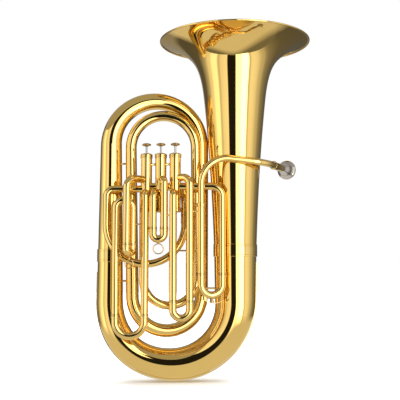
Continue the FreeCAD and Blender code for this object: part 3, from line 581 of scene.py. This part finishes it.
def build_outlet_loop():
    left, right = OUTLET_X
    radius = (right - left) / 2
    low = OUTLET_LOW_Z - radius
    start = at(VALVES[2], OUTLET_Z)
    start.y = OUTLET_Y
    points = [start + Vector((-8, 0, 0)), (left, OUTLET_Y, OUTLET_Z), (left, OUTLET_Y, low),
              (right, OUTLET_Y, low), (right, OUTLET_Y, OUTLET_JOIN_Z)]
    route = route_of(points, [OUTLET_BEND, radius - 0.001, radius - 0.001])
    end = route.length
    profile = [(0, TUBE_R)] + ring_steps(end - 30, end, TUBE_R, TUBE_R + 0.9)
    tube_piece("outlet_loop", route, profile, TUBE_BORE, nodes=("valve_outlet_loop",), segments=44,
               saddle=(VALVES[2], SADDLE_R))


def valve_leg_route(valve, leg, port_z, radius, low_z):
    start = at(valve, port_z)
    way = (at(leg, port_z) - start).normalized()
    return route_of([start + way * 6, at(leg, port_z), at(leg, low_z)], [radius])


def valve_leg(valve, leg, port_z, radius, low_z):
    route = valve_leg_route(valve, leg, port_z, radius, low_z)
    return sweep(route, [(0, SLEEVE_R), (route.length, SLEEVE_R)], SLEEVE_BORE, 44,
                 (valve, SADDLE_R))


def plain_piece(name, parts, node, material=None, body="instrument"):
    """Brass piece of one or more closed shells that stands for one node."""
    points, faces = join(parts)
    return make_piece(name, points, faces, material or BRASS, body, "lacquered_brass", (node,))


def build_fixed_legs():
    legs, end_z, _, _ = SLIDES["main"]
    plain_piece("main_inlet_leg", [valve_leg(VALVES[0], legs[1], ROW_PORT, WIDE_BEND, end_z)],
                "main_slide_inlet_leg")
    legs, end_z, _, _ = SLIDES["first"]
    plain_piece("first_valve_legs", [valve_leg(VALVES[0], legs[0], LOWER_PORT, TIGHT_BEND, end_z),
                                     valve_leg(VALVES[0], legs[1], UPPER_PORT + 4, MIDDLE_BEND, end_z)],
                "first_valve_tubing")
    legs, end_z, _, _ = SLIDES["second"]
    plain_piece("second_valve_legs", [valve_leg(VALVES[1], legs[0], LOWER_PORT, SHORT_BEND, end_z),
                                      valve_leg(VALVES[1], legs[1], UPPER_PORT, TIGHT_BEND, end_z)],
                "second_valve_tubing")
    legs, end_z, _, _ = SLIDES["third_lower"]
    plain_piece("third_valve_lower_leg", [valve_leg(VALVES[2], legs[1], LOWER_PORT, TIGHT_BEND, end_z)],
                "third_valve_lower_tubing")
    upper_legs, upper_z, _, _ = SLIDES["third_upper"]
    far = legs[0]
    route = Route().run(at(upper_legs[1], upper_z), at(upper_legs[1], THIRD_LOOP_Z))
    middle = (at(upper_legs[1], THIRD_LOOP_Z) + at(far, THIRD_LOOP_Z)) / 2
    route.arc(middle, at(upper_legs[1], THIRD_LOOP_Z), UP, math.pi)
    route.run(at(far, THIRD_LOOP_Z), at(far, end_z))
    loop = sweep(route, [(0, SLEEVE_R), (route.length, SLEEVE_R)], SLEEVE_BORE, 44)
    plain_piece("third_valve_upper_legs",
                [valve_leg(VALVES[2], upper_legs[0], UPPER_PORT, WIDE_BEND, upper_z), loop],
                "third_valve_upper_tubing")
    rings = []
    for legs, end_z, _, _ in SLIDES.values():
        for leg in legs:
            outline = ring_outline(end_z, end_z + RING_H, RING_R, SLEEVE_R - 0.3, 0.6, 0.25)
            rings.append(lathe(outline, at(leg, 0), UP, 44))
    plain_piece("sleeve_end_rings", rings, "sleeve_rings", PART_BRASS)


def build_moving_slide(key, piece, node, body):
    """Bow with rings at its ends and inner legs that run up into the sleeves."""
    legs, end_z, low_z, reach = SLIDES[key]
    left, right = at(legs[0], 0), at(legs[1], 0)
    radius = (right - left).length / 2
    centre_z = low_z + radius
    top_z = end_z - SLIDE_GAP
    route = Route().run(at(left, top_z + reach), at(left, centre_z))
    route.arc(at((left + right) / 2, centre_z), at(left, centre_z), -UP, math.pi)
    route.run(at(right, centre_z), at(right, top_z + reach))
    end = route.length
    first = ring_steps(reach, reach + RING_H, SLEEVE_R, RING_R)
    last = ring_steps(end - reach - RING_H, end - reach, SLEEVE_R, RING_R)
    first[0] = (reach, INNER_R)
    last[-1] = (end - reach, INNER_R)
    points, faces = sweep(route, [(0, INNER_R)] + first + last + [(end, INNER_R)], INNER_BORE, 44)
    made = make_piece(piece, points, faces, BRASS, body, "lacquered_brass", (node,))
    made.data.materials.append(NICKEL)
    for polygon in made.data.polygons:
        if polygon.center.z > (top_z + 0.3) * MM:
            polygon.material_index = 1


def build_pull_ring(key, node, body, size):
    """Wire ring on a short foot under a slide's bow."""
    ring_r, drop = size
    legs, _, low_z, _ = SLIDES[key]
    middle = (at(legs[0], 0) + at(legs[1], 0)) / 2
    bottom = low_z - SLEEVE_R
    ring = torus(at(middle, bottom - drop), (0, 1, 0), ring_r, PULL_WIRE_R, 64, 16)
    foot_low = bottom - drop + ring_r
    outline = [(foot_low, 0), (foot_low, 1.3), (foot_low + 1.2, 1.5), (bottom - 1.0, 1.6),
               (bottom - 0.3, 2.0), (bottom + 0.35, 2.0), (bottom + 0.35, 0)]
    plain_piece(node + "_wire", [ring, lathe(outline, at(middle, 0), UP, 24)], node, PART_BRASS, body)


def build_leadpipe():
    leg, end_z = SLIDES["main"][0][0], SLIDES["main"][1]
    join_z = LEADPIPE_JOIN_Z
    low = Route().run(at(leg, end_z), at(leg, join_z + 3))
    sleeve = sweep(low, [(0, SLEEVE_R), (low.length, SLEEVE_R)], SLEEVE_BORE, 44)
    route = route_of([at(leg, join_z), at(leg, LEADPIPE_CORNER_Z), TURN, TURN + MOUTH * LEADPIPE_END],
                     LEADPIPE_BENDS)
    upper = sweep(route, [(0, LEADPIPE_R), (route.length, LEADPIPE_R)], LEADPIPE_BORE, 44)
    band = lathe(ring_outline(join_z - 5, join_z + 5, RING_R, LEADPIPE_BORE + 0.2, 0.8, 0.25),
                 at(leg, 0), UP, 44)
    plain_piece("leadpipe_tube", [sleeve, upper, band], "leadpipe")


# ------------------------------------------------------------ valves
def build_caps():
    """Top and bottom caps, each with a groove round it."""
    tops, bottoms = [], []
    low, high = TOP_CAP_Z
    casing_low, casing_top = CASING_Z[0] - 0.1, CASING_Z[1] + 0.2
    for place in VALVES:
        outline = [(low, CASING_R), (low, CAP_R - 0.7), (low + 0.3, CAP_R - 0.2), (low + 0.8, CAP_R),
                   (low + 2.6, CAP_R), (low + 2.9, CAP_R - 0.6), (low + 3.5, CAP_R - 0.6),
                   (low + 3.8, CAP_R), (high - 3.4, CAP_R)]
        for k in range(1, 8):
            a = math.pi / 2 * k / 7
            outline.append((high - 3.4 + 3.4 * math.sin(a), CAP_R - 3.4 + 3.4 * math.cos(a)))
        outline += [(high, 9.5), (high, STEM_HOLE_R), (high - 1.6, STEM_HOLE_R),
                    (high - 1.6, 11.9), (casing_top, 11.9), (casing_top, CASING_R)]
        tops.append(lathe(outline, at(place, 0), UP, 72))
        low_b, high_b = BOTTOM_CAP_Z
        outline = [(high_b, CASING_R), (high_b, CAP_R - 0.3), (high_b - 0.3, CAP_R),
                   (high_b - 2.6, CAP_R), (high_b - 3.1, CAP_R - 0.7), (high_b - 3.8, CAP_R - 0.7),
                   (high_b - 4.3, CAP_R), (low_b + 3.0, CAP_R)]
        for k in range(1, 7):
            a = math.pi / 2 * k / 6
            outline.append((low_b + 3.0 - 3.0 * math.sin(a), CAP_R - 3.0 + 3.0 * math.cos(a)))
        outline += [(low_b, 6.0), (low_b + 0.8, 5.4), (low_b + 0.8, 2.0), (low_b + 2.0, 2.0),
                    (low_b + 2.0, 11.0), (casing_low, 11.0), (casing_low, CASING_R)]
        bottoms.append(lathe(outline, at(place, 0), UP, 72))
    plain_piece("top_caps_turned", tops, "top_valve_caps", PART_BRASS)
    plain_piece("bottom_caps_turned", bottoms, "bottom_valve_caps", PART_BRASS)


def build_valve_works():
    low, high = BUTTON_Z
    for number, place in enumerate(VALVES):
        tag = str(number + 1)
        body = "valve_" + tag
        edge = BUTTON_R
        outline = [(low + 1.5, 0), (low + 1.5, STEM_R), (low, STEM_R), (low, 4.0), (low + 0.3, 4.4),
                   (low + 0.9, 5.0), (low + 1.9, edge - 2.4), (low + 2.2, edge - 1.3),
                   (low + 3.0, edge - 0.4), (low + 4.2, edge), (low + 5.2, edge - 0.3),
                   (low + 5.9, edge - 0.9), (low + 6.3, edge - 1.8)]
        rise, shoulder = high - low - 6.3, edge - 1.8
        dome = (shoulder ** 2 + rise ** 2) / (2 * rise)
        for k in range(6, 0, -1):
            r = shoulder * k / 7
            outline.append((high - dome + math.sqrt(dome ** 2 - r ** 2), r))
        outline.append((high, 0))
        points, faces = lathe(outline, at(place, 0), UP, 64)
        # The buttons take the darker brass as painted shade of their undersides.
        make_piece("finger_button_%s_turned" % tag, points, faces, DARK_BRASS, body,
                   "lacquered_brass", ("finger_button_" + tag,))
        outline = [(PISTON_TOP_Z, 0), (PISTON_TOP_Z, STEM_R), (low + 1.5, STEM_R), (low + 1.5, 0)]
        points, faces = lathe(outline, at(place, 0), UP, 32)
        make_piece("valve_stem_%s_rod" % tag, points, faces, STEEL, body, "steel",
                   ("valve_stem_" + tag,))
        coil = coil_spring(place)
        make_piece("valve_spring_%s_coil" % tag, *coil, STEEL, "instrument", "steel",
                   ("valve_spring_" + tag,))
        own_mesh(bpy.data.objects["valve_spring_%s_coil" % tag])


def coil_spring(place):
    """Wound wire with flat closed ends."""
    turns, coil_r, wire_r = 6.0, 8.6, 0.9
    low, high = SPRING_Z[0] + 1.2, SPRING_Z[1] - 1.2
    count, around = 144, 8
    points, faces = [], []
    for i in range(count + 1):
        t = i / count
        climb = min(max((t - 0.12) / 0.76, 0), 1)
        a = 2 * math.pi * turns * t
        spoke = Vector((math.cos(a), math.sin(a), 0))
        centre = at(place, low + (high - low) * climb) + spoke * coil_r
        for k in range(around):
            b = 2 * math.pi * k / around
            points.append(centre + spoke * (wire_r * math.cos(b)) + UP * (wire_r * math.sin(b)))
    for i in range(count):
        for k in range(around):
            m = (k + 1) % around
            faces.append((i * around + k, i * around + m, (i + 1) * around + m, (i + 1) * around + k))
    faces.append(tuple(range(around))[::-1])
    faces.append(tuple(count * around + k for k in range(around)))
    return points, faces


# ------------------------------------------------------------ mouthpiece and receiver
def build_mouthpiece():
    low, high = RECEIVER
    length = high - low
    step = LEADPIPE_END - low
    inner = SHANK_R + 0.06
    outline = [(0, LEADPIPE_R), (0, 9.2), (0.6, 9.9), (1.6, 10.4), (3.0, 10.6), (4.4, 10.4),
               (5.6, 9.9), (6.4, 9.2), (8.5, 9.0), (length - 6.5, 9.1), (length - 5.5, 9.7),
               (length - 0.5, 9.8), (length, 9.4), (length, inner),
               (length - SHANK_DEPTH - 1, inner), (length - SHANK_DEPTH - 1, 6.0), (step, 6.0),
               (step, LEADPIPE_R)]
    points, faces = lathe(outline, TURN + MOUTH * low, MOUTH, 56)
    make_piece("receiver_turned", points, faces, PART_BRASS, "instrument", "lacquered_brass",
               ("mouthpiece_receiver",))
    outer = smooth_profile([(17.0, 8.2), (24.0, 11.8), (33.0, 15.6), (44.0, 17.6), (48.6, 20.5)], 22)
    bowl = smooth_profile([(54.4, 16.2), (42.0, 15.2), (29.0, 10.0), (20.0, 4.0)], 18)
    rim = [(50.2, 23.4), (51.4, 24.0), (53.0, 24.15), (54.8, 23.6), (56.2, 22.3), (57.1, 20.8),
           (57.35, 19.4), (57.0, 18.0), (56.0, 16.9)]
    outline = ([(-SHANK_DEPTH, 5.4), (-SHANK_DEPTH, SHANK_R), (1.0, SHANK_R), (1.6, 6.9), (2.5, 7.2),
                (9.0, 7.4)] + outer + rim + bowl)
    points, faces = lathe(outline, TURN + MOUTH * high, MOUTH, 96)
    made = make_piece("mouthpiece_turned", points, faces, SILVER, "mouthpiece_body", "silver_plate",
                      ("mouthpiece",), 40)
    made.data.materials.append(RIM_EDGE)
    for polygon in made.data.polygons:
        offset = polygon.center / MM - TURN
        ahead = offset.dot(MOUTH)
        out = (offset - MOUTH * ahead).length
        if out > BROWN_EDGE_R and ahead < high + BROWN_EDGE_END:
            polygon.material_index = 1


# ------------------------------------------------------------ carried-over frame nodes
def dress_frame_nodes():
    """Materials for the frame nodes that keep their own shape."""
    looks = {
        "bottom_bow_guard": BRASS, "bottom_bow_cap": BRASS,
        "valve_knuckles": BRASS, "casing_braces": PART_BRASS,
        "slide_braces": PART_BRASS, "body_braces": PART_BRASS, "stem_felts": FELT,
        # The water key mount and lever use the same darker brass that is painted shade on the buttons.
        "water_key_mount": DARK_BRASS, "water_key_pin": STEEL, "water_key_lever": DARK_BRASS,
        "water_key_cork": CORK}
    for k in "123":
        looks["valve_casing_" + k] = BRASS
        looks["piston_" + k] = NICKEL
    for node, material in looks.items():
        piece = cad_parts[node]
        piece.data.materials.clear()
        piece.data.materials.append(material)


# ------------------------------------------------------------ stage, light and camera
EYE = Vector((-8.0, -1900.0, 279.0))
AIM = Vector((66.0, 0.0, 438.0))
LENS = 69.75


def build_camera():
    data = bpy.data.cameras.new("camera")
    data.lens = LENS
    data.sensor_width = 36.0
    data.clip_end = 50.0
    camera = bpy.data.objects.new("camera", data)
    camera.location = EYE * MM
    camera.rotation_euler = (AIM - EYE).to_track_quat("-Z", "Y").to_euler()
    bpy.context.scene.collection.objects.link(camera)
    bpy.context.scene.camera = camera


def flat_sheet(name, low, high, z, material):
    """Level rectangle of the stage, metres."""
    mesh = bpy.data.meshes.new(name)
    mesh.from_pydata([(low[0], low[1], z), (high[0], low[1], z), (high[0], high[1], z),
                      (low[0], high[1], z)], [], [(0, 1, 2, 3)])
    sheet = bpy.data.objects.new(name, mesh)
    bpy.context.scene.collection.objects.link(sheet)
    sheet.data.materials.append(material)
    return sheet


def glow_material(name):
    """Material with an emission only; returns it with its node."""
    material = bpy.data.materials.new(name)
    material.use_nodes = True
    nodes = material.node_tree.nodes
    nodes.clear()
    glow = nodes.new("ShaderNodeEmission")
    out = nodes.new("ShaderNodeOutputMaterial")
    material.node_tree.links.new(glow.outputs[0], out.inputs["Surface"])
    return material, glow


def reflections_only(thing):
    for kind in ("camera", "diffuse", "shadow", "transmission"):
        setattr(thing, "visible_" + kind, False)


def build_floor():
    """Pale floor for the camera; the metal sees the table top below it instead."""
    s = Shader("pale_floor")
    grain = s.noise(3.0, 3.0)
    s.link(s.ramp(grain, [(0.3, (0.93, 0.93, 0.93)), (0.7, (0.95, 0.95, 0.95))]),
           s.bsdf.inputs["Base Color"])
    s.bsdf.inputs["Roughness"].default_value = 0.9
    floor = flat_sheet("floor", (-6.0, -6.0), (6.0, 6.0), -0.001, s.material)
    floor.visible_glossy = False


def build_table_reflection():
    """Pale table top with soft edges that only reflections see."""
    glow_paint, glow = glow_material("table_glow")
    glow.inputs["Color"].default_value = (TABLE, TABLE * 0.99, TABLE * 0.95, 1)
    nodes, links = glow_paint.node_tree.nodes, glow_paint.node_tree.links
    coords = nodes.new("ShaderNodeTexCoord")
    shift = nodes.new("ShaderNodeMapping")
    shift.inputs["Location"].default_value = TABLE_SHIFT
    shift.inputs["Scale"].default_value = TABLE_SCALE
    links.new(coords.outputs["Object"], shift.inputs["Vector"])
    away = nodes.new("ShaderNodeVectorMath")
    away.operation = "LENGTH"
    links.new(shift.outputs["Vector"], away.inputs[0])
    fade = nodes.new("ShaderNodeValToRGB")
    for element, (place, level) in zip(fade.color_ramp.elements, zip(TABLE_FADE, (1.0, 0.0))):
        element.position = place
        element.color = (level, level, level, 1)
    links.new(away.outputs["Value"], fade.inputs["Fac"])
    clear = nodes.new("ShaderNodeBsdfTransparent")
    soften = nodes.new("ShaderNodeMixShader")
    links.new(fade.outputs["Color"], soften.inputs[0])
    links.new(clear.outputs[0], soften.inputs[1])
    links.new(glow.outputs[0], soften.inputs[2])
    links.new(soften.outputs[0], nodes["Material Output"].inputs["Surface"])
    reflections_only(flat_sheet("table_reflection", (-1.2, -1.4), (1.3, 2.4), -0.002, glow_paint))


# The reflected table is an ellipse whose edge fades out between these two radii, scaled.
TABLE_SHIFT, TABLE_SCALE, TABLE_FADE = (-0.068, -0.296, 0), (1.24, 0.592, 0), (0.64, 0.86)

# Brightness of the studio round the object, by direction: degrees from the front towards
# the bell side. Soft boxes stand right and left of a narrow dark gap at the front.
STUDIO = [(-180, 0.3), (-163, 0.3), (-157, 0.10), (-128, 0.12), (-110, 0.45), (-102, 0.63),
          (-95, 0.98), (-86, 1.0), (-80, 1.5), (-62, 1.6), (-57, 0.75), (-52, 0.75), (-48, 1.02),
          (-25, 1.2), (-23.5, 0.015), (3, 0.015), (4.5, 2.4), (20, 2.6), (24, 4.1), (43, 4.3),
          (46, 0.75), (50, 0.75), (53, 1.1), (62, 1.1), (73, 0.97), (84, 0.66), (94, 0.55),
          (100, 0.36), (107, 0.27), (128, 0.14), (158, 0.10), (164, 0.3)]
HIGH_GAP, HIGH_Z = {3: 11, 4.5: 12.5}, (0.95, 1.05)     # the dark gap widens between these heights
WALL_R, WALL_Z = 2.0, (-1.2, 1.57)
CEILING, BELOW, TABLE = 0.42, 0.2, 0.74
SUN_POWER, SUN_ANGLE = 2.5, 1.2                 # the angle in radians


def azimuth_ramp(nodes, links, position, stops, top):
    """Colour output from (degrees, brightness) stops, as a share of the top brightness."""
    split = nodes.new("ShaderNodeSeparateXYZ")
    links.new(position, split.inputs[0])
    flip = nodes.new("ShaderNodeMath")
    flip.operation = "MULTIPLY"
    flip.inputs[1].default_value = -1.0
    links.new(split.outputs["Y"], flip.inputs[0])
    turn = nodes.new("ShaderNodeMath")
    turn.operation = "ARCTAN2"
    links.new(split.outputs["X"], turn.inputs[0])
    links.new(flip.outputs[0], turn.inputs[1])
    share = nodes.new("ShaderNodeMapRange")
    share.inputs["From Min"].default_value = -math.pi
    share.inputs["From Max"].default_value = math.pi
    links.new(turn.outputs[0], share.inputs["Value"])
    ramp = nodes.new("ShaderNodeValToRGB")
    elements = ramp.color_ramp.elements
    while len(elements) < len(stops):
        elements.new(0.5)
    for element, (angle, value) in zip(elements, stops):
        element.position = (angle + 180) / 360
        level = value / top
        element.color = (level, level * 0.995, level * 0.97, 1)
    links.new(share.outputs[0], ramp.inputs["Fac"])
    return ramp.outputs["Color"]


def build_studio_wall():
    """Round wall of soft boxes that only reflections see."""
    count = 180
    points, faces = [], []
    for k in range(count):
        a = 2 * math.pi * k / count
        for z in WALL_Z:
            points.append((WALL_R * math.sin(a), -WALL_R * math.cos(a), z))
        m = (k + 1) % count
        faces.append((2 * k, 2 * m, 2 * m + 1, 2 * k + 1))
    mesh = bpy.data.meshes.new("studio_wall")
    mesh.from_pydata(points, [], faces)
    wall = bpy.data.objects.new("studio_wall", mesh)
    bpy.context.scene.collection.objects.link(wall)
    material, glow = glow_material("soft_boxes")
    nodes, links = material.node_tree.nodes, material.node_tree.links
    coords = nodes.new("ShaderNodeTexCoord")
    top = max(v for _, v in STUDIO)
    high = [(HIGH_GAP.get(angle, angle), level) for angle, level in STUDIO]
    split = nodes.new("ShaderNodeSeparateXYZ")
    links.new(coords.outputs["Object"], split.inputs[0])
    rise = nodes.new("ShaderNodeMapRange")
    rise.inputs["From Min"].default_value = HIGH_Z[0]
    rise.inputs["From Max"].default_value = HIGH_Z[1]
    links.new(split.outputs["Z"], rise.inputs["Value"])
    mix = nodes.new("ShaderNodeMix")
    mix.data_type = "RGBA"
    links.new(rise.outputs[0], mix.inputs["Factor"])
    links.new(azimuth_ramp(nodes, links, coords.outputs["Object"], STUDIO, top), mix.inputs["A"])
    links.new(azimuth_ramp(nodes, links, coords.outputs["Object"], high, top), mix.inputs["B"])
    links.new(mix.outputs["Result"], glow.inputs["Color"])
    glow.inputs["Strength"].default_value = top
    wall.data.materials.append(material)
    reflections_only(wall)


def build_world():
    """Plain white, except in reflections: a grey ceiling over a darker floor."""
    world = bpy.data.worlds.new("studio")
    bpy.context.scene.world = world
    world.use_nodes = True
    tree = world.node_tree
    nodes, links = tree.nodes, tree.links
    nodes.clear()
    coords = nodes.new("ShaderNodeTexCoord")
    split = nodes.new("ShaderNodeSeparateXYZ")
    links.new(coords.outputs["Generated"], split.inputs[0])
    height = nodes.new("ShaderNodeValToRGB")
    for element, (place, value) in zip(height.color_ramp.elements, ((0.48, BELOW), (0.52, CEILING))):
        element.position = place
        element.color = (value, value, value * 0.97, 1)
    lift = nodes.new("ShaderNodeMapRange")
    lift.inputs["From Min"].default_value = -1.0
    links.new(split.outputs["Z"], lift.inputs["Value"])
    links.new(lift.outputs[0], height.inputs["Fac"])
    studio = nodes.new("ShaderNodeBackground")
    links.new(height.outputs["Color"], studio.inputs["Color"])
    plain = nodes.new("ShaderNodeBackground")
    plain.inputs["Color"].default_value = (1, 1, 1, 1)
    path = nodes.new("ShaderNodeLightPath")
    choose = nodes.new("ShaderNodeMixShader")
    links.new(path.outputs["Is Glossy Ray"], choose.inputs[0])
    links.new(plain.outputs[0], choose.inputs[1])
    links.new(studio.outputs[0], choose.inputs[2])
    out = nodes.new("ShaderNodeOutputWorld")
    links.new(choose.outputs[0], out.inputs["Surface"])


def build_lights():
    """Soft light from above for the floor, felt and cork."""
    data = bpy.data.lights.new("overhead", "SUN")
    data.energy = SUN_POWER
    data.angle = SUN_ANGLE
    lamp = bpy.data.objects.new("overhead", data)
    lamp.location = (0, 0, 3)
    bpy.context.scene.collection.objects.link(lamp)
    lamp.visible_glossy = False


build_camera()
build_world()
build_studio_wall()
build_lights()
build_floor()
build_table_reflection()
build_bell()
build_ferrules()
build_body()
build_outlet_loop()
build_fixed_legs()
for key, piece, node, body in (
        ("main", "main_slide_bow", "main_tuning_slide", "main_slide"),
        ("first", "first_slide_bow", "first_valve_slide", "first_slide"),
        ("second", "second_slide_bow", "second_valve_slide", "second_slide"),
        ("third_upper", "third_upper_slide_bow", "third_valve_upper_slide", "third_upper_slide"),
        ("third_lower", "third_lower_slide_bow", "third_valve_lower_slide", "third_lower_slide")):
    build_moving_slide(key, piece, node, body)
build_pull_ring("second", "second_slide_pull_ring", "second_slide", SECOND_PULL_RING)
build_pull_ring("third_upper", "third_slide_pull_ring", "third_upper_slide", THIRD_PULL_RING)
build_leadpipe()
build_caps()
build_valve_works()
build_mouthpiece()
dress_frame_nodes()

bpy.context.scene.view_settings.view_transform = "Standard"
